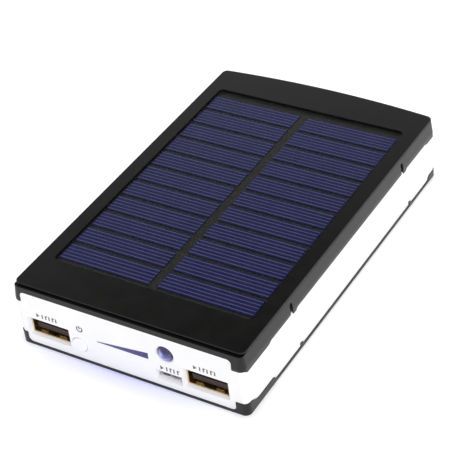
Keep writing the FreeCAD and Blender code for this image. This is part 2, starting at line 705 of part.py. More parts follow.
def make_solar_panel():
    ends = ("window_port - panel_border", "window_far + panel_border")
    half = ("-panel_half", "panel_half")
    keep(block("solar_backing", half, ends, ("panel_low", "panel_top")), "solar_backing")
    tape_z = ("panel_top", "height - ledge")
    outer = block("tape_outer", half, ends, tape_z)
    inner = block("tape_inner", ("-window_x - 0.2", "window_x + 0.2"),
                  ("window_port - 0.2", "window_far + 0.2"), ("panel_top - 1", "height"))
    keep(take("solar_tape", outer, inner), "solar_tape")
    wafers = []
    for row in range(WAFER_ROWS):
        start = "wafer_start + %d * wafer_pitch" % row
        rows = (start, start + " + wafer_tall")
        for x in (("-wafer_edge", "spine_left"), ("spine_right", "wafer_edge")):
            wafers.append(block("wafer", x, rows, ("panel_top", "panel_top + wafer")))
    keep(group("solar_wafers", wafers), "solar_wafers", len(wafers))
    body = new_body("solar_laminate")
    clear = rectangle("-window_x + gap", "window_x - gap", "window_port + gap", "window_far - gap")
    add(new_sketch(body, "XY_Plane", "panel_top + wafer", clear), "laminate")
    dress(body, "Fillet", is_upright, Radius="window_round")
    keep(body, "solar_laminate")


# ---------------------------------------------------------------- cells

def cell_y(index):
    return "cell_first + %d * cell_pitch" % index


def make_cells():
    """Five cells side by side, all with the raised terminal on the right, and their fittings."""
    centre_z = "cell_low + cell"
    right = "cell_left + cell_long"
    caps = []
    rings = []
    for index in range(CELLS):
        y = cell_y(index)
        can = rod("cell_can", "x", ("cell_left", y, centre_z), "cell_long", "cell")
        crimp = doc.addObject("Part::Torus", "cell_crimp")
        crimp.Placement = FreeCAD.Placement(FreeCAD.Vector(), TURNED_TO["x"])
        bind(crimp, "Radius1", "cell + 0.3")
        bind(crimp, "Radius2", "0.7")
        place(crimp, right + " - 3.2", y, centre_z)
        name = "battery_cell_%d" % (index + 1)
        keep(take(name, can, crimp), name)
        caps.append(rod("cap", "x", (right, y, centre_z), "terminal_tall", "terminal"))
        ring = rod("ring_disc", "x", (right, y, centre_z), "ring_thick", "ring")
        bore = rod("ring_hole", "x", (right + " - 1", y, centre_z), "3", "ring_bore")
        rings.append(take("cell_ring", ring, bore))
    keep(group("cell_terminals", caps), "cell_terminals", CELLS)
    keep(group("cell_insulator_rings", rings), "cell_insulator_rings", CELLS)
    make_strips(centre_z, right + " + terminal_tall")
    for name, low, high in (("insulating_sheet_left", "-sheet_x - sheet_thick", "-sheet_x"),
                            ("insulating_sheet_right", "sheet_x", "sheet_x + sheet_thick")):
        keep(block(name, (low, high), ("bulkhead + 2", "far_y - 3.5"), ("floor + gap", "18.5")), name)
    foam_y = ("%s + cell + 0.02" % cell_y(CELLS - 1), "far_y + bow - white_in - frame_wall - 1.4")
    keep(block("battery_foam", ("-28", "28"), foam_y, ("3", "17")), "battery_foam")


def make_strips(centre_z, terminal_x):
    """Nickel strips welded across the five cells, one on each end."""
    span = ("%s - 5" % cell_y(0), "%s + 5" % cell_y(CELLS - 1))
    tall = ("%s - strip_half" % centre_z, "%s + strip_half" % centre_z)
    keep(block("positive_strip", (terminal_x, terminal_x + " + strip"), span, tall), "positive_strip")
    keep(block("negative_strip", ("cell_left - strip", "cell_left"), span, tall), "negative_strip")


# ---------------------------------------------------------------- board and sockets

def make_board():
    board = block("board_blank", ("-board_half", "board_half"), ("board_port", "board_back"),
                  ("board_low", "board_top"))
    through = ("board_low - 1", "board_top + 1")
    notch = block("button_notch", ("button_x - button_flange - 0.6", "button_x + button_flange + 0.6"),
                  ("board_port - 1", "board_port + 1.4"), through)
    sunk = block("micro_notch", ("micro_x - micro_wide / 2 - 0.1", "micro_x + micro_wide / 2 + 0.1"),
                 ("board_port - 1", "micro_back + 0.1"), through)
    tools = [notch, sunk]
    for x in SCREW_ROW:
        tools.append(rod("screw_hole", "z", (x, "screw_y", "board_low - 1"), "5", "screw_shank + 0.15"))
    for x in ("usb_left", "usb_right"):
        for side in ("-", "+"):
            middle = "%s %s (usb_wide / 2 - usb_wall / 2)" % (x, side)
            for y in USB_TABS:
                tools.append(block("tab_slot", (middle + " - 0.35", middle + " + 0.35"),
                                   (y + " - 1", y + " + 1"), through))
    keep(take("main_board", board, *tools), "main_board")
    screws = []
    for x in SCREW_ROW:
        shank = rod("screw_shank", "z", (x, "screw_y", "screw_tip"), "board_top - screw_tip + 0.1",
                    "screw_shank")
        head = rod("screw_head", "z", (x, "screw_y", "board_top"), "head_tall", "screw_head")
        cross = [block("cross", (x + " - 1", x + " + 1"), ("screw_y - 0.2", "screw_y + 0.2"),
                       ("board_top + head_tall - 0.6", "board_top + 3")),
                 block("cross", (x + " - 0.2", x + " + 0.2"), ("screw_y - 1", "screw_y + 1"),
                       ("board_top + head_tall - 0.6", "board_top + 3"))]
        screws.append(take("board_screw", join("screw_solid", shank, head), *cross))
    keep(group("board_screws", screws), "board_screws", len(screws))


def make_usb_socket(side, x):
    """One full-size socket: folded shell, insulator with its tongue, and four contacts."""
    wide = ("%s - usb_wide / 2" % x, "%s + usb_wide / 2" % x)
    tall = ("board_top", "board_top + usb_tall")
    long = ("usb_mouth", "usb_back")
    outside = block("shell_outside", wide, long, tall)
    bore = block("shell_bore", (wide[0] + " + usb_wall", wide[1] + " - usb_wall"),
                 ("usb_mouth - 1", "usb_back - usb_wall"), (tall[0] + " + usb_wall", tall[1] + " - usb_wall"))
    springs = []
    for shift in ("-3.2", "3.2"):
        middle = "%s + %s" % (x, shift)
        springs.append(block("spring_slot", (middle + " - 0.9", middle + " - 0.7"),
                             ("usb_mouth + 2.5", "usb_mouth + 7.5"), (tall[1] + " - 1", tall[1] + " + 1")))
        springs.append(block("spring_slot", (middle + " + 0.7", middle + " + 0.9"),
                             ("usb_mouth + 2.5", "usb_mouth + 7.5"), (tall[1] + " - 1", tall[1] + " + 1")))
        springs.append(block("spring_slot", (middle + " - 0.9", middle + " + 0.9"),
                             ("usb_mouth + 7.3", "usb_mouth + 7.5"), (tall[1] + " - 1", tall[1] + " + 1")))
    tabs = []
    for edge in ("%s + usb_wall" % wide[0], wide[1]):
        for y in USB_TABS:
            tabs.append(block("shell_tab", (edge + " - usb_wall", edge), (y + " - 0.7", y + " + 0.7"),
                              ("board_low - 0.8", "board_top + 0.5")))
    shell = join("usb_shell_solid", take("usb_shell_tube", outside, bore, *springs), *tabs)
    name = "usb_shell_" + side
    keep(shell, name)

    tongue_z = ("board_top + 1.15", "board_top + 2.95")
    tongue = block("tongue", ("%s - 5.6" % x, "%s + 5.6" % x), ("usb_mouth + 1", "usb_back - 3"), tongue_z)
    plug = block("socket_block", (wide[0] + " + usb_wall + 0.05", wide[1] + " - usb_wall - 0.05"),
                 ("usb_back - 3.6", "usb_back - usb_wall - 0.05"),
                 (tall[0] + " + usb_wall + 0.05", tall[1] + " - usb_wall - 0.05"))
    contacts = []
    for place_index in range(4):
        middle = "%s + (%d - 1.5) * 2.25" % (x, place_index)
        contacts.append(block("contact", (middle + " - 0.5", middle + " + 0.5"),
                              ("usb_mouth + 1.8", "usb_back - 3.65"), (tongue_z[1], tongue_z[1] + " + 0.3")))
    keep(join("usb_insulator_" + side, tongue, plug), "usb_insulator_" + side)
    keep(group("usb_contacts_" + side, contacts), "usb_contacts_" + side, 4)


def make_micro_socket():
    """The small charging socket, narrower at its lower corners, with its tongue."""
    shell = new_body("micro_socket_shell")
    add(new_sketch(shell, "XZ_Plane", "micro_mouth", micro_outline("0")), "micro_back - micro_mouth")
    carve(new_sketch(shell, "XZ_Plane", "micro_mouth - 1", micro_outline("micro_wall")),
          "micro_back - micro_mouth + 1 - micro_wall")
    keep(shell, "micro_socket_shell")
    x = "micro_x"
    tongue = block("micro_tongue", (x + " - 1.85", x + " + 1.85"), ("micro_mouth + 0.8", "micro_back - 1.2"),
                   ("micro_low + 1.35", "micro_low + 1.85"))
    plug = block("micro_block", (x + " - 2.3", x + " + 2.3"),
                 ("micro_back - 1.3", "micro_back - micro_wall - 0.05"),
                 ("micro_low + micro_wall + 0.05", "micro_low + micro_tall - micro_wall - 0.05"))
    keep(join("micro_socket_tongue", tongue, plug), "micro_socket_tongue")


def micro_outline(inset):
    half = "(micro_wide / 2 - %s)" % inset
    low = "micro_low + %s" % inset
    top = "micro_low + micro_tall - %s" % inset
    slant = "0.9"
    return [("micro_x - %s + %s" % (half, slant), low), ("micro_x + %s - %s" % (half, slant), low),
            ("micro_x + %s" % half, low + " + 0.9"), ("micro_x + %s" % half, top),
            ("micro_x - %s" % half, top), ("micro_x - %s" % half, low + " + 0.9")]


# ---------------------------------------------------------------- button, switch and lights

def make_button():
    """The round cap with the flange that keeps it in the wall, and the switch behind it."""
    back = "port_y + white_in + frame_wall + gap"
    body = new_body("power_button")
    add(new_sketch(body, "XZ_Plane", "button_face", ("button_x", "button_z", "button")),
        "%s - button_face + 0.3" % back)
    front = value("button_face")
    dress(body, "Fillet", lambda edge: abs(edge.BoundBox.YMin - front) < 1e-3
          and edge.BoundBox.YLength < 1e-3, Radius="0.4")
    add(new_sketch(body, "XZ_Plane", back, ("button_x", "button_z", "button_flange")), "flange_thick")
    keep(body, "power_button")
    flange_back = "%s + flange_thick" % back
    keep(rod("switch_plunger", "y", ("button_x", flange_back, "button_z"), "stem_end - (%s)" % flange_back,
             "stem"), "switch_plunger")
    case = block("switch_case", ("button_x - switch_half", "button_x + switch_half"),
                 ("switch_front", "switch_back"), ("board_top", "button_z + 1.55"))
    hole = rod("switch_hole", "y", ("button_x", "switch_front - 1", "button_z"),
               "stem_end - switch_front + 1.6", "stem + stem_room")
    keep(take("switch_body", case, hole), "switch_body")


def make_torch():
    """A round lamp with a domed front and a flange, and two legs bent down to the board."""
    body = new_body("torch_lamp")
    bind(body, "Placement.Base.x", "torch_x")
    bind(body, "Placement.Base.z", "torch_z")
    profile = [("0", "torch_tip"), ("torch", "torch_tip + torch", "torch", -1),
               ("torch", "torch_back - 1"), ("torch_flange", "torch_back - 1"),
               ("torch_flange", "torch_back"), ("0", "torch_back")]
    turn(new_sketch(body, "XY_Plane", "0", profile))
    keep(body, "torch_lamp")
    legs = []
    for side in ("-", "+"):
        x = "torch_x %s torch_pitch / 2" % side
        across = (x + " - wire_leg", x + " + wire_leg")
        along = block("leg_along", across, ("torch_back", "torch_back + 2"),
                      ("torch_z - wire_leg", "torch_z + wire_leg"))
        down = block("leg_down", across, ("torch_back + 2 - 2 * wire_leg", "torch_back + 2"),
                     ("board_top", "torch_z + wire_leg"))
        legs.append(join("torch_leg", along, down))
    keep(group("torch_legs", legs), "torch_legs", 2)


def make_level_light():
    """A clear wedge in the port wall, its flange behind the wall, and four small lamps below."""
    inner = "port_y + white_in + frame_wall + gap"
    body = new_body("level_light_guide")
    add(new_sketch(body, "XZ_Plane", "port_y + white_in", wedge_outline("0")),
        "frame_wall + gap + guide_thick")
    flange = rectangle("wedge_tip - 0.8", "wedge_end + 0.8", "wedge_low - 0.8",
                       "wedge_low + wedge_tall + 0.8")
    add(new_sketch(body, "XZ_Plane", inner, flange), "guide_thick")
    leg = rectangle("-guide_half", "guide_half", "guide_low", "wedge_low")
    add(new_sketch(body, "XZ_Plane", inner, leg), "guide_thick * 1.5")
    keep(body, "level_light_guide")
    lamps = []
    for place_index in range(4):
        middle = "(%d - 1.5) * 3.6" % place_index
        lamps.append(block("level_lamp", (middle + " - 0.8", middle + " + 0.8"),
                           ("board_port + 0.05", "board_port + 0.85"), ("board_top", "board_top + 0.75")))
    keep(group("level_lamps", lamps), "level_lamps", 4)


# ---------------------------------------------------------------- parts on the board

def make_components():
    coil_base = block("coil_base", ("-3.6", "3.6"), ("-53.6", "-46.4"), ("board_top", "board_top + 3.6"))
    coil_cup = rod("coil_cup", "z", ("0", "-50", "board_top + 2.9"), "1", "2.7")
    core = rod("coil_core", "z", ("0", "-50", "board_top + 2.9"), "0.7", "1.9")
    keep(take("power_coil", coil_base, take("coil_ring", coil_cup, core)), "power_coil")
    chips = []
    for x, y, half_x, half_y, tall in (("-12", "-48", "2.5", "2", "1.5"), ("11", "-45.2", "2.5", "2", "1.5"),
                                       ("-12", "-42.4", "1.5", "0.8", "1.1")):
        chips.append(block("chip", ("%s - %s" % (x, half_x), "%s + %s" % (x, half_x)),
                           ("%s - %s" % (y, half_y), "%s + %s" % (y, half_y)),
                           ("board_top", "board_top + " + tall)))
    keep(group("control_chips", chips), "control_chips", len(chips))
    capacitors = []
    for x, y in (("-7", "-45.5"), ("6.6", "-49.5")):
        capacitors.append(block("capacitor", (x + " - 1.6", x + " + 1.6"), (y + " - 1.25", y + " + 1.25"),
                                ("board_top", "board_top + 1.8")))
    keep(group("capacitors", capacitors), "capacitors", len(capacitors))
    keep(block("solar_diode", ("11.6", "15.9"), ("-42.6", "-40"), ("board_top", "board_top + 2.1")),
         "solar_diode")


# ---------------------------------------------------------------- wires

def make_wire(name, route):
    """A round wire along a route of straight runs joined by tangent arcs."""
    points = [FreeCAD.Vector(*(value(text) for text in point)) for point in route]
    corners = []
    for before, point, after in zip(points, points[1:], points[2:]):
        back = before - point
        ahead = after - point
        half_turn = (math.pi - back.getAngle(ahead)) / 2
        tangent = WIRE_TURN * min(back.Length, ahead.Length)
        radius = tangent / math.tan(half_turn)
        back.normalize()
        ahead.normalize()
        bisector = (back + ahead).normalize()
        centre = point + bisector * (radius / math.cos(half_turn))
        corners.append((point + back * tangent, centre - bisector * radius, point + ahead * tangent))
        print("%s bend radius %.2f mm" % (name, radius))
    edges = []
    start = points[0]
    for entry, middle, leaving in corners:
        edges.append(Part.LineSegment(start, entry).toShape())
        edges.append(Part.Arc(entry, middle, leaving).toShape())
        start = leaving
    edges.append(Part.LineSegment(start, points[-1]).toShape())
    path = Part.Wire(edges)
    radius = value("wire")
    ring = Part.Wire(Part.makeCircle(radius, points[0], points[1] - points[0]))
    tube = path.makePipeShell([ring], True, True)
    expected = math.pi * radius ** 2 * path.Length
    if abs(tube.Volume - expected) > 0.01 * expected:
        raise RuntimeError("%s has volume %.2f, not %.2f" % (name, tube.Volume, expected))
    thing = doc.addObject("Part::Feature", name)
    thing.Shape = tube
    thing.Placement = FreeCAD.Placement()
    return keep(thing, name)


def make_wires():
    strip_out = "cell_left + cell_long + terminal_tall + strip + wire"
    for name, sign in (("battery_wire_positive", ""), ("battery_wire_negative", "-")):
        x = "%s(%s)" % (sign, strip_out)
        make_wire(name, (
            (x, "cell_first - 4", "cell_low + cell"),
            (x, "bulkhead - 0.6", "cell_low + cell"),
            (x, "bulkhead - 4.8", "cell_low + cell - 2.6"),
            (x, "bulkhead - 4.8", "board_top"),
        ))
    for name, x, lean in (("solar_wire_positive", "4.2", "1.4"), ("solar_wire_negative", "7.4", "0.8")):
        make_wire(name, (
            (x, "-43.6", "panel_low"),
            (x, "-43.6", "15"),
            ("%s + %s" % (x, lean), "-42.4", "9.5"),
            ("%s + %s" % (x, lean), "-42.4", "board_top"),
        ))


# ---------------------------------------------------------------- build, check and write

make_top_cover()
make_bottom_cover()
make_mid_frame(make_skirt_room(), make_lip_room())
make_solar_panel()
make_cells()
make_board()
make_usb_socket("left", "usb_left")
make_usb_socket("right", "usb_right")
make_micro_socket()
make_button()
make_torch()
make_level_light()
make_components()
make_wires()
doc.recompute()

for thing in doc.Objects:
    if "Invalid" in thing.State or "Error" in thing.State:
        raise RuntimeError("%s failed: %s" % (thing.Name, thing.State))
for thing, name, solids in PARTS:
    shape = thing.Shape
    if shape.isNull() or not shape.isValid():
        raise RuntimeError(name + " has no valid shape")
    if len(shape.Solids) != solids:
        raise RuntimeError("%s has %d solids, not %d" % (name, len(shape.Solids), solids))

os.makedirs("parts", exist_ok=True)
for thing, name, solids in PARTS:
    thing.Shape.exportStep("parts/%s.step" % name)
print("%d parts" % len(PARTS))
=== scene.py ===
import math

import bmesh
import bpy
from bpy.props import FloatProperty, FloatVectorProperty, IntProperty, PointerProperty
from mathutils import Matrix, Vector


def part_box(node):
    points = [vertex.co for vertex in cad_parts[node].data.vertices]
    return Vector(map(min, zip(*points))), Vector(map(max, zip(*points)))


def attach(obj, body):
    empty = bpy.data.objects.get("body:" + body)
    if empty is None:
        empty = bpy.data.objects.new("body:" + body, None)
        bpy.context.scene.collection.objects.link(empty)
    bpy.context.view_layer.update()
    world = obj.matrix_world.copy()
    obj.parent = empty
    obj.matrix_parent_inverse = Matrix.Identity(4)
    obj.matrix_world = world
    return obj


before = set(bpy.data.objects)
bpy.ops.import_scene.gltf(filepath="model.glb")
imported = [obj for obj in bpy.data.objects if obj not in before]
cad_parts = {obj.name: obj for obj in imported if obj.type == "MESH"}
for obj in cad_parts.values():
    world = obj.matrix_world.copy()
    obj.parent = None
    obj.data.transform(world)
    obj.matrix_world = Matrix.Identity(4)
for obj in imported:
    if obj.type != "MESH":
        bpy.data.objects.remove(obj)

bl_info = {
    "name": "Solar Power Bank",
    "version": (1, 0, 0),
    "blender": (4, 5, 0),
    "location": "View3D > Sidebar > Charger",
    "description": "Finishes a solar power bank: covers, panel, ports, lamps and the stage it stands on",
    "category": "Object",
}

MM = 0.001
CASE = "charger"
CELLS = ["battery_cell_%d" % number for number in range(1, 6)]

# Spring strips in the full-size sockets: wall, drop below the shell's top, lean in degrees.
SPRING_WALLS = (("roof", 0.75 * MM, -6.0), ("floor", 5.0 * MM, 3.0))
SPRING_INSET = 0.6 * MM
SPRINGS_PER_WALL = 2

# Places of the printed marks: rise above the piece they belong to, shift right of its middle.
OUTPUT_MARK_RISE = 2.1 * MM
INPUT_MARK_RISE = 1.75 * MM
INPUT_MARK_SHIFT = 0.6 * MM
POWER_MARK_RISE = 3.1 * MM
POWER_MARK_SHIFT = 0.9 * MM
OUTPUT_BARS = 5
INPUT_BARS = 4

# A row of bars: arrow length and step in mark heights, the rest in steps or strokes.
ARROW_LENGTH = 0.8
BAR_STEP = 0.8
FIRST_BAR = 1.6
HOOK_REACH = 0.75
HOOK_THICKNESS = 0.8

# The power sign: ring radius in mark heights, stroke in radii, the ring's arc in degrees.
RING_RADIUS = 0.62
STROKE_REACH = 1.25
RING_START = 125
RING_SWEEP = 290
RING_STEPS = 24

# Painted light in the torch lamp, a violet glow low down and a highlight: right of its middle, above its
# middle, reach, all in lens radii.
PAINTED_LOWER_GLOW_PATCH = (0.15, -0.75, 0.95)
PAINTED_HIGHLIGHT_PATCH = (-0.35, 0.1, 0.5)
LAMP_EMISSION = 0.42
GUIDE_EMISSION = 0.12

# The stage: where each light comes from, its angle in degrees, and the sky's dark flag.
KEY_SOURCE = (-0.62, 0.5, 1.0)
KEY_ANGLE = 50.0
FILL_SOURCE = (1.2, -0.75, 0.8)
FILL_ANGLE = 90.0
FLAG_SOURCE = (-0.3, 0.5, 0.81)
FLAG_COLOUR = (0.01, 0.01, 0.01)
FLAG_INNER = 14.0
FLAG_OUTER = 25.0
# Stretch of the floor's painted violet glow, and the floor's lift towards white where it is seen.
PAINTED_FLOOR_GLOW_STRETCH = (0.62, 2.2, 1.0)
FLOOR_LIFT = 0.22


# ---------------------------------------------------------------- settings

def colour_property(name, description, default):
    return FloatVectorProperty(name=name, description=description, default=default, subtype="COLOR",
                               size=3, min=0.0, max=1.0)


def length_property(name, description, default):
    return FloatProperty(name=name, description=description, default=default * MM, min=0.0,
                         subtype="DISTANCE", unit="LENGTH", precision=5)


def share_property(name, description, default):
    return FloatProperty(name=name, description=description, default=default, min=0.0, max=1.0,
                         subtype="FACTOR")


class CaseSettings(bpy.types.PropertyGroup):
    cover_colour: colour_property("Cover colour", "Colour of both moulded covers", (0.0045, 0.0045, 0.0042))
    cover_roughness: share_property("Cover roughness", "How satin the covers are", 0.22)
    cover_grain: length_property("Cover grain", "Size of the covers' moulded texture", 0.22)
    frame_colour: colour_property("Frame colour", "Colour of the mid frame and the button",
                                  (0.87, 0.87, 0.885))
    frame_roughness: share_property("Frame roughness", "How satin the mid frame is", 0.38)
    frame_grain: length_property("Frame grain", "Size of the frame's faint ripple", 0.9)


class PanelSettings(bpy.types.PropertyGroup):
    wafer_colour: colour_property("Wafer colour", "Blue-violet of the silicon", (0.004, 0.005, 0.05))
    wafer_tint: colour_property("Wafer tint", "Bluer shade that the silicon drifts to",
                                (0.004, 0.006, 0.058))
    backing_colour: colour_property("Backing colour", "Laminate seen between the wafers",
                                    (0.006, 0.007, 0.005))
    finger_colour: colour_property("Finger colour", "Printed silver lines", (0.085, 0.085, 0.17))
    fingers: IntProperty(name="Fingers", description="Silver lines on each wafer", default=5, min=2, max=12)
    finger_width: length_property("Finger width", "Width of a silver line", 0.3)
    finger_thickness: length_property("Finger thickness", "How far a silver line stands up", 0.03)
    coating_thickness: length_property("Coating thickness", "Blue coating on each wafer", 0.015)
    film_gloss: share_property("Film gloss", "How glossy the clear laminate is", 0.6)
    haze: share_property("Haze", "How much of the clear laminate's surface shows", 0.05)


class PortSettings(bpy.types.PropertyGroup):
    mark_colour: colour_property("Mark colour", "Ink of the printed marks", (0.12, 0.11, 0.12))
    mark_height: length_property("Mark height", "Height of the printed marks", 1.45)
    mark_stroke: length_property("Mark stroke", "Line width of the printed marks", 0.42)
    mark_thickness: length_property("Mark thickness", "Thickness of the ink", 0.02)
    shell_colour: colour_property("Shell colour", "Plating of the socket shells", (0.75, 0.56, 0.3))
    contact_colour: colour_property("Contact colour", "Gold flash on the contacts", (0.95, 0.7, 0.26))
    # Painted glow: emission on the gold contacts stands in for light inside a socket.
    painted_contact_glow: share_property("Bounce", "Light that the gold contacts pass on inside a socket", 0.05)
    tongue_colour: colour_property("Tongue colour", "Insulators of the full-size sockets",
                                   (0.02, 0.006, 0.004))
    spring_width: length_property("Spring width", "Width of a shell's spring strip", 2.4)
    spring_length: length_property("Spring length", "Length of a shell's spring strip", 4.6)
    spring_thickness: length_property("Spring thickness", "Thickness of a shell's spring strip", 0.2)
    spring_step: length_property("Spring step", "Distance between a shell's two strips", 6.4)


class LampSettings(bpy.types.PropertyGroup):
    lens_radius: length_property("Lens radius", "Radius of the torch lamp's dome", 2.5)
    lens_colour: colour_property("Lens colour", "Epoxy of the torch lamp", (0.012, 0.009, 0.07))
    # Painted highlight and painted violet glow, coloured into the lens and emitted with it.
    painted_highlight_colour: colour_property("Glow colour", "Pale patch in the torch lamp", (0.22, 0.3, 0.9))
    painted_lower_glow_colour: colour_property("Lower colour", "Violet patch low in the torch lamp", (0.14, 0.11, 0.5))
    guide_colour: colour_property("Guide colour", "Thick end of the level light", (0.026, 0.022, 0.11))
    guide_tip: colour_property("Guide tip", "Thin end of the level light", (0.07, 0.07, 0.24))


class StageSettings(bpy.types.PropertyGroup):
    azimuth: FloatProperty(name="Azimuth", description="Camera's turn about the upright axis",
                           default=math.radians(34.735), subtype="ANGLE", unit="ROTATION")
    elevation: FloatProperty(name="Elevation", description="Camera's height above the horizon",
                             default=math.radians(37.48), subtype="ANGLE", unit="ROTATION")
    roll: FloatProperty(name="Roll", description="Camera's tilt about its own axis",
                        default=math.radians(-7.155), subtype="ANGLE", unit="ROTATION")
    distance: length_property("Distance", "Camera to the point that it looks at", 476.29)
    aim: FloatVectorProperty(name="Aim", description="Point that the camera looks at", size=3,
                             default=(-5.49 * MM, 1.75 * MM, 7.15 * MM), subtype="TRANSLATION",
                             unit="LENGTH")
    lens: FloatProperty(name="Lens", description="Focal length in millimetres", default=126.67, min=1.0)
    floor_colour: colour_property("Floor colour", "Pale floor", (0.9, 0.9, 0.9))
    floor_size: length_property("Floor size", "Side of the floor", 8000.0)
    key: FloatProperty(name="Key", description="Strength of the soft key light", default=0.9, min=0.0)
    fill: FloatProperty(name="Fill", description="Strength of the soft fill light", default=2.0, min=0.0)
    sky: share_property("Sky", "Brightness of the studio dome", 0.7)
    # Painted light: a violet patch on the floor stands in for the lamp's light falling there.
    painted_floor_glow_colour: colour_property("Tint colour", "Floor where the lamp's violet falls", (0.6, 0.6, 0.9))
    painted_floor_glow_reach: length_property("Tint reach", "How far the violet spreads over the floor", 27.0)


SETTINGS = {
    "charger_case": CaseSettings,
    "charger_panel": PanelSettings,
    "charger_ports": PortSettings,
    "charger_lamps": LampSettings,
    "charger_stage": StageSettings,
}


# ---------------------------------------------------------------- node helpers

def add_node(tree, kind, inputs=None, **attributes):
    """A new node, its attributes set and its inputs given as numbers, colours or other nodes' sockets."""
    node = tree.nodes.new(kind)
    for name, value in attributes.items():
        setattr(node, name, value)
    for name, value in (inputs or {}).items():
        if isinstance(value, bpy.types.NodeSocket):
            tree.links.new(value, node.inputs[name])
        else:
            node.inputs[name].default_value = value
    return node


def new_finish(name, roughness, ior=1.5, metallic=0.0):
    """A material with its Principled shader, ready for colour and texture."""
    material = bpy.data.materials.new(name)
    material.use_nodes = True
    shader = material.node_tree.nodes["Principled BSDF"]
    shader.inputs["Roughness"].default_value = roughness
    shader.inputs["IOR"].default_value = ior
    shader.inputs["Metallic"].default_value = metallic
    return material, material.node_tree, shader


def places(tree, scale=(1.0, 1.0, 1.0), centre=(0.0, 0.0, 0.0)):
    """Object coordinates, moved to a centre and stretched."""
    source = add_node(tree, "ShaderNodeTexCoord")
    moved = [-place * size for place, size in zip(centre, scale)]
    mapping = add_node(tree, "ShaderNodeMapping", {"Vector": source.outputs["Object"], "Location": moved,
                                                   "Scale": scale})
    return mapping.outputs["Vector"]


def mottle(tree, size, detail=2.0, stretch=(1.0, 1.0, 1.0)):
    """Smooth noise whose blotches are about size metres across."""
    noise = add_node(tree, "ShaderNodeTexNoise", {"Vector": places(tree, stretch), "Scale": 1.0 / size,
                                                  "Detail": detail, "Roughness": 0.55})
    return noise.outputs["Fac"]


def remap(tree, value, low, high, start=0.3, end=0.7):
    spread = add_node(tree, "ShaderNodeMapRange", {"Value": value, "From Min": start, "From Max": end,
                                                   "To Min": low, "To Max": high})
    return spread.outputs["Result"]


def blend_colours(tree, factor, first, second):
    mix = add_node(tree, "ShaderNodeMix", data_type="RGBA")
    for socket, value in ((mix.inputs[0], factor), (mix.inputs[6], first), (mix.inputs[7], second)):
        if isinstance(value, bpy.types.NodeSocket):
            tree.links.new(value, socket)
        else:
            socket.default_value = value if isinstance(value, float) else tuple(value)[:3] + (1.0,)
    return mix.outputs[2]


def shade(colour, amount):
    """A lighter or darker copy of a colour."""
    return tuple(min(1.0, channel * amount) for channel in colour)


def colour_drift(tree, shader, colour, size, amount=0.12, stretch=(1.0, 1.0, 1.0)):
    """Base colour that drifts a little lighter and darker over the surface."""
    factor = remap(tree, mottle(tree, size, stretch=stretch), 0.0, 1.0)
    drift = blend_colours(tree, factor, shade(colour, 1.0 - amount), shade(colour, 1.0 + amount))
    tree.links.new(drift, shader.inputs["Base Color"])


def roughness_drift(tree, shader, low, high, size, stretch=(1.0, 1.0, 1.0)):
    tree.links.new(remap(tree, mottle(tree, size, 3.0, stretch), low, high), shader.inputs["Roughness"])


def bump(tree, shader, height, depth):
    """Surface relief of the given depth, in metres."""
    relief = add_node(tree, "ShaderNodeBump", {"Height": height, "Distance": depth, "Strength": 1.0})
    tree.links.new(relief.outputs["Normal"], shader.inputs["Normal"])


# ---------------------------------------------------------------- finishes

def moulded_plastic(name, colour, roughness, grain, depth=0.004 * MM, drift=0.1, ior=1.5):
    """Injection-moulded plastic: fine grain, faint flow marks, a slightly uneven gloss."""
    material, tree, shader = new_finish(name, roughness, ior)
    colour_drift(tree, shader, colour, 9.0 * MM, drift)
    roughness_drift(tree, shader, roughness * 0.85, roughness * 1.15, 4.0 * MM)
    bump(tree, shader, mottle(tree, grain, 2.0), depth)
    return material


def plated_metal(name, colour, roughness, stretch=(1.0, 1.0, 1.0)):
    """Rolled and plated sheet or wire, with fine drawn lines along the stretch."""
    material, tree, shader = new_finish(name, roughness, metallic=1.0)
    colour_drift(tree, shader, colour, 1.5 * MM, 0.1, stretch)
    roughness_drift(tree, shader, roughness * 0.7, roughness * 1.3, 0.4 * MM, stretch)
    bump(tree, shader, mottle(tree, 0.12 * MM, 3.0, stretch), 0.0015 * MM)
    return material


def silicon(settings):
    """Silicon wafers: blue-violet, drifting between two shades, with fine crystal grain."""
    material, tree, shader = new_finish("silicon_wafer", 0.28, ior=1.4)
    factor = remap(tree, mottle(tree, 26.0 * MM), 0.0, 1.0)
    base = blend_colours(tree, factor, settings.wafer_colour, settings.wafer_tint)
    cells = add_node(tree, "ShaderNodeTexVoronoi", {"Vector": places(tree, (1.0, 0.35, 1.0)),
                                                    "Scale": 1.0 / (3.0 * MM)})
    grain = remap(tree, cells.outputs["Color"], 0.0, 0.2, 0.0, 1.0)
    crystals = blend_colours(tree, grain, base, shade(settings.wafer_colour, 1.5))
    tree.links.new(crystals, shader.inputs["Base Color"])
    roughness_drift(tree, shader, 0.22, 0.36, 3.0 * MM)
    return material


def silver_paste(settings):
    material, tree, shader = new_finish("silver_paste", 0.5, metallic=0.35)
    colour_drift(tree, shader, settings.finger_colour, 7.0 * MM, 0.12)
    roughness_drift(tree, shader, 0.45, 0.55, 2.0 * MM)
    return material


def clear_laminate(settings):
    """Clear, slightly wavy film over the wafers. Only its gloss shows."""
    material, tree, shader = new_finish("clear_laminate", 0.1, ior=1.55)
    shader.inputs["Base Color"].default_value = (0.02, 0.02, 0.022, 1.0)
    shader.inputs["Alpha"].default_value = settings.haze
    shader.inputs["Coat Weight"].default_value = settings.film_gloss
    shader.inputs["Coat Roughness"].default_value = 0.08
    roughness_drift(tree, shader, 0.1, 0.22, 12.0 * MM)
    bump(tree, shader, mottle(tree, 14.0 * MM), 0.03 * MM)
    return material


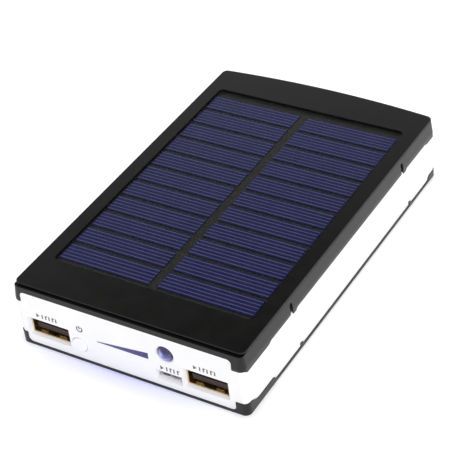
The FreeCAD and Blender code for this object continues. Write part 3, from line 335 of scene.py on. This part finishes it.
def panel_backing(settings):
    """Dark glass-cloth laminate, with its weave just showing."""
    material, tree, shader = new_finish("panel_backing", 0.42)
    weave = add_node(tree, "ShaderNodeTexWave", {"Vector": places(tree), "Scale": 1.0 / (2.4 * MM),
                                                 "Distortion": 0.6}, bands_direction="DIAGONAL")
    cloth = blend_colours(tree, weave.outputs["Fac"], shade(settings.backing_colour, 0.8),
                          shade(settings.backing_colour, 1.25))
    tree.links.new(cloth, shader.inputs["Base Color"])
    roughness_drift(tree, shader, 0.36, 0.5, 2.0 * MM)
    return material


def cell_sleeve():
    """Shrink sleeve of a cell: glossy, with faint hoops where it shrank unevenly."""
    material, tree, shader = new_finish("cell_sleeve", 0.3)
    colour_drift(tree, shader, (0.05, 0.28, 0.42), 6.0 * MM, 0.1)
    roughness_drift(tree, shader, 0.24, 0.4, 3.0 * MM)
    bump(tree, shader, mottle(tree, 2.5 * MM, stretch=(3.0, 0.4, 0.4)), 0.05 * MM)
    shader.inputs["Coat Weight"].default_value = 0.3
    return material


def circuit_board():
    """Green solder mask over copper tracks, with bare tinned pads."""
    material, tree, shader = new_finish("circuit_board", 0.35)
    brick = add_node(tree, "ShaderNodeTexBrick", {"Vector": places(tree), "Scale": 1.0 / (2.1 * MM),
                                                  "Mortar Size": 0.035, "Mortar Smooth": 0.1,
                                                  "Brick Width": 1.3, "Row Height": 0.45,
                                                  "Color1": (0.012, 0.1, 0.04, 1.0),
                                                  "Color2": (0.016, 0.13, 0.05, 1.0),
                                                  "Mortar": (0.04, 0.24, 0.09, 1.0)})
    tree.links.new(brick.outputs["Color"], shader.inputs["Base Color"])
    roughness_drift(tree, shader, 0.28, 0.42, 2.0 * MM)
    bump(tree, shader, brick.outputs["Fac"], 0.03 * MM)
    return material


def fish_paper():
    material, tree, shader = new_finish("fish_paper", 0.8)
    colour_drift(tree, shader, (0.46, 0.5, 0.38), 1.2 * MM, 0.14, (1.0, 0.3, 1.0))
    bump(tree, shader, mottle(tree, 0.25 * MM, 4.0), 0.02 * MM)
    return material


def closed_foam(name, colour):
    """Closed-cell foam: matt, with small bubbles."""
    material, tree, shader = new_finish(name, 0.85)
    bubbles = add_node(tree, "ShaderNodeTexVoronoi", {"Vector": places(tree), "Scale": 1.0 / (0.45 * MM)})
    tone = remap(tree, bubbles.outputs["Distance"], 0.0, 1.0, 0.0, 0.8)
    skin = blend_colours(tree, tone, shade(colour, 0.6), shade(colour, 1.3))
    tree.links.new(skin, shader.inputs["Base Color"])
    bump(tree, shader, bubbles.outputs["Distance"], 0.08 * MM)
    return material


def wire_insulation(name, colour):
    material, tree, shader = new_finish(name, 0.45)
    colour_drift(tree, shader, colour, 0.8 * MM, 0.1)
    roughness_drift(tree, shader, 0.38, 0.55, 0.6 * MM)
    bump(tree, shader, mottle(tree, 0.3 * MM), 0.006 * MM)
    return material


def ferrite():
    material, tree, shader = new_finish("ferrite", 0.6, metallic=0.2)
    colour_drift(tree, shader, (0.06, 0.06, 0.066), 0.5 * MM, 0.25)
    bump(tree, shader, mottle(tree, 0.15 * MM, 4.0), 0.015 * MM)
    return material


def lamp_epoxy(settings):
    """Tinted epoxy of the torch lamp: dark, with a painted highlight and a painted violet glow low in the
    lens, both emitted as well.
    """
    low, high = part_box("torch_lamp")
    centre = (low + high) / 2
    radius = settings.lens_radius
    material, tree, shader = new_finish("lamp_epoxy", 0.08, ior=1.55)
    tint = settings.lens_colour
    # Each patch paints light into the lens colour: first the violet glow low down, then the highlight.
    for (across, up, reach), colour in ((PAINTED_LOWER_GLOW_PATCH, settings.painted_lower_glow_colour),
                                        (PAINTED_HIGHLIGHT_PATCH, settings.painted_highlight_colour)):
        painted_light_spot = (centre.x + across * radius, low.y, centre.z + up * radius)
        distance = add_node(tree, "ShaderNodeVectorMath", {"Vector": places(tree, (1.0, 0.0, 1.0), painted_light_spot)},
                            operation="LENGTH")
        painted_light_mask = remap(tree, distance.outputs["Value"], 1.0, 0.0, 0.1 * reach * radius, reach * radius)
        tint = blend_colours(tree, painted_light_mask, tint, colour)
    tree.links.new(tint, shader.inputs["Base Color"])
    tree.links.new(tint, shader.inputs["Emission Color"])
    shader.inputs["Emission Strength"].default_value = LAMP_EMISSION
    shader.inputs["Coat Weight"].default_value = 1.0
    shader.inputs["Coat Roughness"].default_value = 0.03
    return material


def guide_acrylic(settings):
    """Translucent acrylic of the level light, paler towards its thin end."""
    low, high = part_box("level_light_guide")
    material, tree, shader = new_finish("guide_acrylic", 0.25, ior=1.49)
    along = add_node(tree, "ShaderNodeSeparateXYZ", {"Vector": places(tree)})
    fade = remap(tree, along.outputs["X"], 0.0, 1.0, low.x, high.x)
    tint = blend_colours(tree, fade, settings.guide_tip, settings.guide_colour)
    tree.links.new(tint, shader.inputs["Base Color"])
    tree.links.new(tint, shader.inputs["Emission Color"])
    shader.inputs["Emission Strength"].default_value = GUIDE_EMISSION
    roughness_drift(tree, shader, 0.2, 0.32, 1.0 * MM)
    return material


def printed_ink(settings):
    material, tree, shader = new_finish("printed_ink", 0.55)
    colour_drift(tree, shader, settings.mark_colour, 0.3 * MM, 0.25)
    return material


# ---------------------------------------------------------------- geometry helpers

def new_tree(name, **inputs):
    """An empty Geometry Nodes tree with named inputs, and its group input and output nodes."""
    tree = bpy.data.node_groups.new(name, "GeometryNodeTree")
    for label, kind in inputs.items():
        tree.interface.new_socket(label.replace("_", " "), in_out="INPUT", socket_type="NodeSocket" + kind)
    tree.interface.new_socket("Geometry", in_out="OUTPUT", socket_type="NodeSocketGeometry")
    return tree, tree.nodes.new("NodeGroupInput").outputs, tree.nodes.new("NodeGroupOutput")


def repeat(tree, shape, count, offset, start=(0.0, 0.0, 0.0)):
    """Copies of a shape at even steps from start."""
    line = add_node(tree, "GeometryNodeMeshLine", {"Count": count, "Start Location": start,
                                                   "Offset": offset})
    copies = add_node(tree, "GeometryNodeInstanceOnPoints", {"Points": line.outputs["Mesh"],
                                                            "Instance": shape})
    return copies.outputs["Instances"]


def close_tree(tree, geometry, material, output):
    """Realize Instances and Set Material, the end of every tree."""
    real = add_node(tree, "GeometryNodeRealizeInstances", {"Geometry": geometry})
    painted = add_node(tree, "GeometryNodeSetMaterial", {"Geometry": real.outputs["Geometry"],
                                                         "Material": material})
    tree.links.new(painted.outputs["Geometry"], output.inputs["Geometry"])


def grow(name, tree, **values):
    """A plain mesh piece that the tree makes from the values given to its inputs."""
    piece = bpy.data.objects.new(name, bpy.data.meshes.new(name))
    bpy.context.scene.collection.objects.link(piece)
    modifier = piece.modifiers.new("Grow", "NODES")
    modifier.node_group = tree
    for item in tree.interface.items_tree:
        if item.in_out == "INPUT":
            modifier[item.identifier] = values[item.name.replace(" ", "_")]
    graph = bpy.context.evaluated_depsgraph_get()
    mesh = bpy.data.meshes.new_from_object(piece.evaluated_get(graph))
    piece.modifiers.remove(modifier)
    piece.data = mesh
    if not mesh.polygons:
        raise RuntimeError("%s came out empty" % name)
    return piece


def mesh_piece(name, shape, material):
    """A piece from a bmesh, with outward faces and one material."""
    bmesh.ops.remove_doubles(shape, verts=shape.verts, dist=0.0005 * MM)
    bmesh.ops.recalc_face_normals(shape, faces=shape.faces)
    mesh = bpy.data.meshes.new(name)
    shape.to_mesh(mesh)
    shape.free()
    mesh.materials.append(material)
    piece = bpy.data.objects.new(name, mesh)
    bpy.context.scene.collection.objects.link(piece)
    return piece


def settle(piece, body):
    """The piece rides on a body."""
    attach(piece, body)
    return piece


def paint(material, *nodes):
    """Gives CAD nodes a material in place of the plain one."""
    for name in nodes:
        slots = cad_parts[name].data.materials
        slots.clear()
        slots.append(material)


def slab(shape, outline, front, back):
    """A flat-faced solid on the port wall: an outline of (x, z) points, front and back given as y."""
    near = [shape.verts.new((x, front, z)) for x, z in outline]
    far = [shape.verts.new((x, back, z)) for x, z in outline]
    shape.faces.new(near)
    shape.faces.new(reversed(far))
    for here in range(len(outline)):
        there = (here + 1) % len(outline)
        shape.faces.new((near[here], near[there], far[there], far[here]))


# ---------------------------------------------------------------- pieces

class CHARGER_OT_covers(bpy.types.Operator):
    """Black moulded plastic on both covers"""
    bl_idname = "charger.covers"
    bl_label = "Covers"

    def execute(self, context):
        settings = context.scene.charger_case
        black = moulded_plastic("black_plastic", settings.cover_colour, settings.cover_roughness,
                                settings.cover_grain, ior=1.4)
        paint(black, "top_cover", "bottom_cover")
        return {"FINISHED"}


class CHARGER_OT_mid_frame(bpy.types.Operator):
    """White moulded plastic on the mid frame and the power button"""
    bl_idname = "charger.mid_frame"
    bl_label = "Mid Frame and Button"

    def execute(self, context):
        settings = context.scene.charger_case
        white = moulded_plastic("white_plastic", settings.frame_colour, settings.frame_roughness,
                                settings.frame_grain, 0.003 * MM, 0.015)
        paint(white, "mid_frame", "power_button")
        return {"FINISHED"}


class CHARGER_OT_solar_panel(bpy.types.Operator):
    """Wafers, their coating and silver lines, the backing, the tape and the clear laminate"""
    bl_idname = "charger.solar_panel"
    bl_label = "Solar Panel"

    def execute(self, context):
        settings = context.scene.charger_panel
        coating = silicon(settings)
        paint(coating, "solar_wafers")
        paint(panel_backing(settings), "solar_backing")
        paint(closed_foam("foam_tape", (0.01, 0.01, 0.01)), "solar_tape")
        paint(clear_laminate(settings), "solar_laminate")
        settle(self.strips("wafer_coating", coating, 1, 1.0, settings.coating_thickness), CASE)
        ys = self.wafer_edges()[1]
        share = settings.finger_width * settings.fingers / (ys[1] - ys[0])
        settle(self.strips("wafer_fingers", silver_paste(settings), settings.fingers, share,
                           settings.finger_thickness), CASE)
        return {"FINISHED"}

    def wafer_edges(self):
        """Every wafer edge across the panel and along it, in order."""
        points = [vertex.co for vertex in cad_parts["solar_wafers"].data.vertices]
        return [sorted({round(point[axis], 6) for point in points}) for axis in (0, 1)]

    def strips(self, name, material, count, cover, thickness):
        """Thin strips across every wafer, as many as count, which cover the given share of it."""
        xs, ys = self.wafer_edges()
        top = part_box("solar_wafers")[1].z
        wafer_wide = xs[1] - xs[0]
        step = (ys[1] - ys[0]) / count
        tree, sizes, output = new_tree(name, Length="Float", Width="Float", Thickness="Float",
                                       Strips="Int", Rows="Int", Columns="Int", First="Vector",
                                       Strip_step="Vector", Row_step="Vector", Column_step="Vector",
                                       Material="Material")
        box_size = add_node(tree, "ShaderNodeCombineXYZ", {"X": sizes["Length"], "Y": sizes["Width"],
                                                           "Z": sizes["Thickness"]})
        line = add_node(tree, "GeometryNodeMeshCube", {"Size": box_size.outputs["Vector"]})
        wafer = repeat(tree, line.outputs["Mesh"], sizes["Strips"], sizes["Strip step"])
        column = repeat(tree, wafer, sizes["Rows"], sizes["Row step"])
        panel = repeat(tree, column, sizes["Columns"], sizes["Column step"], sizes["First"])
        close_tree(tree, panel, sizes["Material"], output)
        return grow(name, tree, Length=wafer_wide, Width=step * cover, Thickness=thickness, Strips=count,
                    Rows=len(ys) // 2, Columns=len(xs) // 2,
                    First=(xs[0] + wafer_wide / 2, ys[0] + step / 2, top + thickness / 2),
                    Strip_step=(0.0, step, 0.0), Row_step=(0.0, ys[2] - ys[0], 0.0),
                    Column_step=(xs[2] - xs[0], 0.0, 0.0), Material=material)


class CHARGER_OT_sockets(bpy.types.Operator):
    """Plated shells with their spring strips, brown and pale insulators and gold contacts"""
    bl_idname = "charger.sockets"
    bl_label = "Sockets"

    def execute(self, context):
        settings = context.scene.charger_ports
        shell = plated_metal("plated_shell", settings.shell_colour, 0.3, (1.0, 0.25, 1.0))
        gold = plated_metal("gold_contact", settings.contact_colour, 0.22, (1.0, 0.2, 1.0))
        # Painted glow: the gold contacts emit a little of their own colour, standing in for light inside the
        # socket.
        shader = gold.node_tree.nodes["Principled BSDF"]
        shader.inputs["Emission Color"].default_value = (*settings.contact_colour, 1.0)
        shader.inputs["Emission Strength"].default_value = settings.painted_contact_glow
        nylon = moulded_plastic("brown_nylon", settings.tongue_colour, 0.4, 0.3 * MM)
        pale = moulded_plastic("pale_nylon", (0.8, 0.8, 0.86), 0.4, 0.3 * MM)
        paint(shell, "usb_shell_left", "usb_shell_right")
        paint(plated_metal("bright_shell", (0.9, 0.9, 0.92), 0.25, (1.0, 0.25, 1.0)), "micro_socket_shell")
        paint(nylon, "usb_insulator_left", "usb_insulator_right")
        paint(pale, "micro_socket_tongue")
        paint(gold, "usb_contacts_left", "usb_contacts_right")
        for side in ("left", "right"):
            low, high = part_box("usb_shell_" + side)
            for wall, drop, lean in SPRING_WALLS:
                middle = Vector(((low.x + high.x) / 2, low.y + settings.spring_length / 2 + SPRING_INSET,
                                 high.z - drop))
                springs = self.springs("%s_springs_%s" % (wall, side), settings, shell, middle, lean)
                settle(springs, CASE)
        return {"FINISHED"}

    def springs(self, name, settings, material, middle, lean):
        """The two strips on a shell's wall that press on a plug."""
        step = Vector((settings.spring_step, 0.0, 0.0))
        tree, sizes, output = new_tree(name, Width="Float", Length="Float", Thickness="Float", Lean="Vector",
                                       Springs="Int", First="Vector", Step="Vector", Material="Material")
        box_size = add_node(tree, "ShaderNodeCombineXYZ", {"X": sizes["Width"], "Y": sizes["Length"],
                                                           "Z": sizes["Thickness"]})
        strip = add_node(tree, "GeometryNodeMeshCube", {"Size": box_size.outputs["Vector"]})
        leant = add_node(tree, "GeometryNodeTransform", {"Geometry": strip.outputs["Mesh"],
                                                         "Rotation": sizes["Lean"]})
        row = repeat(tree, leant.outputs["Geometry"], sizes["Springs"], sizes["Step"], sizes["First"])
        close_tree(tree, row, sizes["Material"], output)
        return grow(name, tree, Width=settings.spring_width, Length=settings.spring_length,
                    Thickness=settings.spring_thickness, Lean=(math.radians(lean), 0.0, 0.0),
                    Springs=SPRINGS_PER_WALL, First=middle - step / 2, Step=step, Material=material)


class CHARGER_OT_lamps(bpy.types.Operator):
    """The torch lamp and the tapered level light"""
    bl_idname = "charger.lamps"
    bl_label = "Torch and Level Light"

    def execute(self, context):
        settings = context.scene.charger_lamps
        paint(lamp_epoxy(settings), "torch_lamp")
        paint(guide_acrylic(settings), "level_light_guide")
        paint(moulded_plastic("lamp_chip", (0.75, 0.72, 0.4), 0.35, 0.1 * MM), "level_lamps")
        return {"FINISHED"}


class CHARGER_OT_insides(bpy.types.Operator):
    """Cells, strips, board, wires and everything else behind the walls"""
    bl_idname = "charger.insides"
    bl_label = "Insides"

    def execute(self, context):
        paint(cell_sleeve(), *CELLS)
        steel = plated_metal("bright_steel", (0.66, 0.66, 0.67), 0.3)
        nickel = plated_metal("nickel_strip", (0.62, 0.6, 0.55), 0.32, (1.0, 0.15, 1.0))
        black = moulded_plastic("chip_epoxy", (0.016, 0.016, 0.018), 0.55, 0.12 * MM)
        paint(steel, "cell_terminals", "board_screws", "torch_legs")
        paint(nickel, "positive_strip", "negative_strip")
        paint(fish_paper(), "cell_insulator_rings", "insulating_sheet_left", "insulating_sheet_right")
        paint(closed_foam("pack_foam", (0.03, 0.03, 0.034)), "battery_foam")
        paint(circuit_board(), "main_board")
        paint(black, "control_chips", "solar_diode", "switch_body", "switch_plunger")
        paint(moulded_plastic("tantalum", (0.4, 0.22, 0.06), 0.5, 0.15 * MM), "capacitors")
        paint(ferrite(), "power_coil")
        paint(wire_insulation("red_wire", (0.5, 0.015, 0.015)), "battery_wire_positive",
              "solar_wire_positive")
        paint(wire_insulation("black_wire", (0.012, 0.012, 0.012)), "battery_wire_negative",
              "solar_wire_negative")
        return {"FINISHED"}


class CHARGER_OT_marks(bpy.types.Operator):
    """Plain printed marks beside the ports: arrows, bars and a power sign"""
    bl_idname = "charger.marks"
    bl_label = "Printed Marks"

    def execute(self, context):
        settings = context.scene.charger_ports
        ink = printed_ink(settings)
        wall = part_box("mid_frame")[0].y
        for number, side in enumerate(("left", "right"), 1):
            low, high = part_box("usb_shell_" + side)
            self.row("output_mark_%d" % number, settings, ink, wall, (low.x + high.x) / 2,
                     high.z + OUTPUT_MARK_RISE, OUTPUT_BARS)
        low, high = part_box("micro_socket_shell")
        self.row("input_mark", settings, ink, wall, (low.x + high.x) / 2 + INPUT_MARK_SHIFT,
                 high.z + INPUT_MARK_RISE, INPUT_BARS)
        low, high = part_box("power_button")
        self.power_sign(settings, ink, wall, (low.x + high.x) / 2 + POWER_MARK_SHIFT,
                        high.z + POWER_MARK_RISE)
        return {"FINISHED"}

    def row(self, name, settings, ink, wall, x, z, bars):
        """A small arrow and a row of short bars."""
        tall, stroke = settings.mark_height, settings.mark_stroke
        step = tall * BAR_STEP
        front, back = wall - settings.mark_thickness, wall + settings.mark_thickness
        left = x - (bars + 1) * step / 2
        shape = bmesh.new()
        slab(shape, [(left, z - tall / 2), (left + tall * ARROW_LENGTH, z), (left, z + tall / 2)],
             front, back)
        top = z + tall / 2
        for bar in range(bars):
            start = left + (bar + FIRST_BAR) * step
            self.box(shape, start, start + stroke, z - tall / 2, top, front, back)
            if bar % 2:
                self.box(shape, start + stroke, start + step * HOOK_REACH,
                         top - stroke * HOOK_THICKNESS, top, front, back)
        settle(mesh_piece(name, shape, ink), CASE)

    def box(self, shape, left, right, low, high, front, back):
        slab(shape, [(left, low), (right, low), (right, high), (left, high)], front, back)

    def power_sign(self, settings, ink, wall, x, z):
        """An open ring with a stroke in its gap."""
        radius, half = settings.mark_height * RING_RADIUS, settings.mark_stroke / 2
        front, back = wall - settings.mark_thickness, wall + settings.mark_thickness
        shape = bmesh.new()
        turns = [math.radians(RING_START + RING_SWEEP * step / RING_STEPS) for step in range(RING_STEPS + 1)]
        ring = [(x + edge * math.cos(turn), z + edge * math.sin(turn))
                for edge, arc in ((radius + half, turns), (radius - half, turns[::-1])) for turn in arc]
        slab(shape, ring, front, back)
        self.box(shape, x - half, x + half, z, z + radius * STROKE_REACH, front, back)
        settle(mesh_piece("power_mark", shape, ink), CASE)


class CHARGER_OT_stage(bpy.types.Operator):
    """Pale floor, soft lights, studio sky and the camera"""
    bl_idname = "charger.stage"
    bl_label = "Stage"

    def execute(self, context):
        settings = context.scene.charger_stage
        self.floor(settings)
        self.sky(context, settings)
        self.sun("key_light", settings.key, KEY_SOURCE, KEY_ANGLE)
        self.sun("fill_light", settings.fill, FILL_SOURCE, FILL_ANGLE)
        self.camera(context, settings)
        context.scene.view_settings.view_transform = "Standard"
        return {"FINISHED"}

    def floor(self, settings):
        """A pale floor, lifted towards white, with a painted violet glow of the lamp's light in front of the
        port wall.
        """
        half = settings.floor_size / 2
        shape = bmesh.new()
        bmesh.ops.create_grid(shape, x_segments=1, y_segments=1, size=half)
        material, tree, shader = new_finish("pale_floor", 0.7)
        # Painted light: a violet patch fading out from the port wall stands in for the lamp's light on the
        # floor, in colour and in emission.
        painted_light_spot = (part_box("power_coil")[0].x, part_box("mid_frame")[0].y, 0.0)
        distance = add_node(tree, "ShaderNodeVectorMath", {"Vector": places(tree, PAINTED_FLOOR_GLOW_STRETCH, painted_light_spot)},
                            operation="LENGTH")
        fade = remap(tree, distance.outputs["Value"], 1.0, 0.0, 0.0, settings.painted_floor_glow_reach)
        blotches = remap(tree, mottle(tree, 0.4), 0.0, 1.0)
        pale = blend_colours(tree, blotches, shade(settings.floor_colour, 0.99),
                             shade(settings.floor_colour, 1.01))
        surface = blend_colours(tree, fade, pale, settings.painted_floor_glow_colour)
        tree.links.new(surface, shader.inputs["Base Color"])
        tree.links.new(surface, shader.inputs["Emission Color"])
        rays = add_node(tree, "ShaderNodeLightPath")
        seen = add_node(tree, "ShaderNodeMath", {0: rays.outputs["Is Camera Ray"],
                                                 1: rays.outputs["Is Glossy Ray"]}, operation="MAXIMUM")
        through = rays.outputs["Is Transmission Ray"]
        shown = add_node(tree, "ShaderNodeMath", {0: seen.outputs[0], 1: through}, operation="MAXIMUM")
        lift = add_node(tree, "ShaderNodeMath", {0: shown.outputs[0], 1: FLOOR_LIFT}, operation="MULTIPLY")
        tree.links.new(lift.outputs[0], shader.inputs["Emission Strength"])
        mesh_piece("floor", shape, material)

    def sky(self, context, settings):
        """White to the camera; to everything else a pale dome with a dark flag above the far end."""
        world = bpy.data.worlds.new("studio_sky")
        world.use_nodes = True
        tree = world.node_tree
        background = tree.nodes["Background"]
        source = add_node(tree, "ShaderNodeTexCoord")
        middle = Vector(FLAG_SOURCE).normalized()
        near = add_node(tree, "ShaderNodeVectorMath", {0: source.outputs["Generated"], 1: middle},
                        operation="DOT_PRODUCT")
        flag = remap(tree, near.outputs["Value"], 0.0, 1.0, math.cos(math.radians(FLAG_OUTER)),
                     math.cos(math.radians(FLAG_INNER)))
        dome = blend_colours(tree, flag, (settings.sky,) * 3, FLAG_COLOUR)
        rays = add_node(tree, "ShaderNodeLightPath")
        shown = blend_colours(tree, rays.outputs["Is Camera Ray"], dome, (1.0, 1.0, 1.0))
        tree.links.new(shown, background.inputs["Color"])
        context.scene.world = world

    def sun(self, name, strength, source, angle):
        """A broad light from a direction, which gloss doesn't mirror."""
        light = bpy.data.lights.new(name, "SUN")
        light.energy = strength
        light.angle = math.radians(angle)
        lamp = bpy.data.objects.new(name, light)
        lamp.visible_glossy = False
        lamp.rotation_euler = Vector(source).to_track_quat("Z", "Y").to_euler()
        bpy.context.scene.collection.objects.link(lamp)

    def camera(self, context, settings):
        back = Vector((math.sin(settings.azimuth) * math.cos(settings.elevation),
                       -math.cos(settings.azimuth) * math.cos(settings.elevation),
                       math.sin(settings.elevation)))
        right = Vector((0.0, 0.0, 1.0)).cross(back).normalized()
        upward = back.cross(right)
        turn = Matrix.Rotation(settings.roll, 4, "Z")
        pose = Matrix((right, upward, back)).transposed().to_4x4() @ turn
        pose.translation = Vector(settings.aim) + back * settings.distance
        data = bpy.data.cameras.new("camera")
        data.lens = settings.lens
        data.clip_start = 0.01
        camera = bpy.data.objects.new("camera", data)
        camera.matrix_world = pose
        context.scene.collection.objects.link(camera)
        context.scene.camera = camera


OPERATORS = (CHARGER_OT_covers, CHARGER_OT_mid_frame, CHARGER_OT_solar_panel, CHARGER_OT_sockets,
             CHARGER_OT_lamps, CHARGER_OT_insides, CHARGER_OT_marks, CHARGER_OT_stage)


class CHARGER_PT_sidebar(bpy.types.Panel):
    """Lists the charger's settings and the steps that finish it"""
    bl_idname = "CHARGER_PT_sidebar"
    bl_label = "Solar Power Bank"
    bl_space_type = "VIEW_3D"
    bl_region_type = "UI"
    bl_category = "Charger"

    def draw(self, context):
        for name, group in SETTINGS.items():
            box = self.layout.box()
            for setting in group.__annotations__:
                box.prop(getattr(context.scene, name), setting)
        for operator in OPERATORS:
            self.layout.operator(operator.bl_idname)


def register():
    for group in (*SETTINGS.values(), *OPERATORS, CHARGER_PT_sidebar):
        bpy.utils.register_class(group)
    for name, group in SETTINGS.items():
        setattr(bpy.types.Scene, name, PointerProperty(type=group))


def unregister():
    for name in SETTINGS:
        delattr(bpy.types.Scene, name)
    for group in (CHARGER_PT_sidebar, *reversed(OPERATORS), *SETTINGS.values()):
        bpy.utils.unregister_class(group)


def main():
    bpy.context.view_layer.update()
    register()
    for operator in OPERATORS:
        family, name = operator.bl_idname.split(".")
        getattr(getattr(bpy.ops, family), name)()


if __name__ == "__main__":
    main()
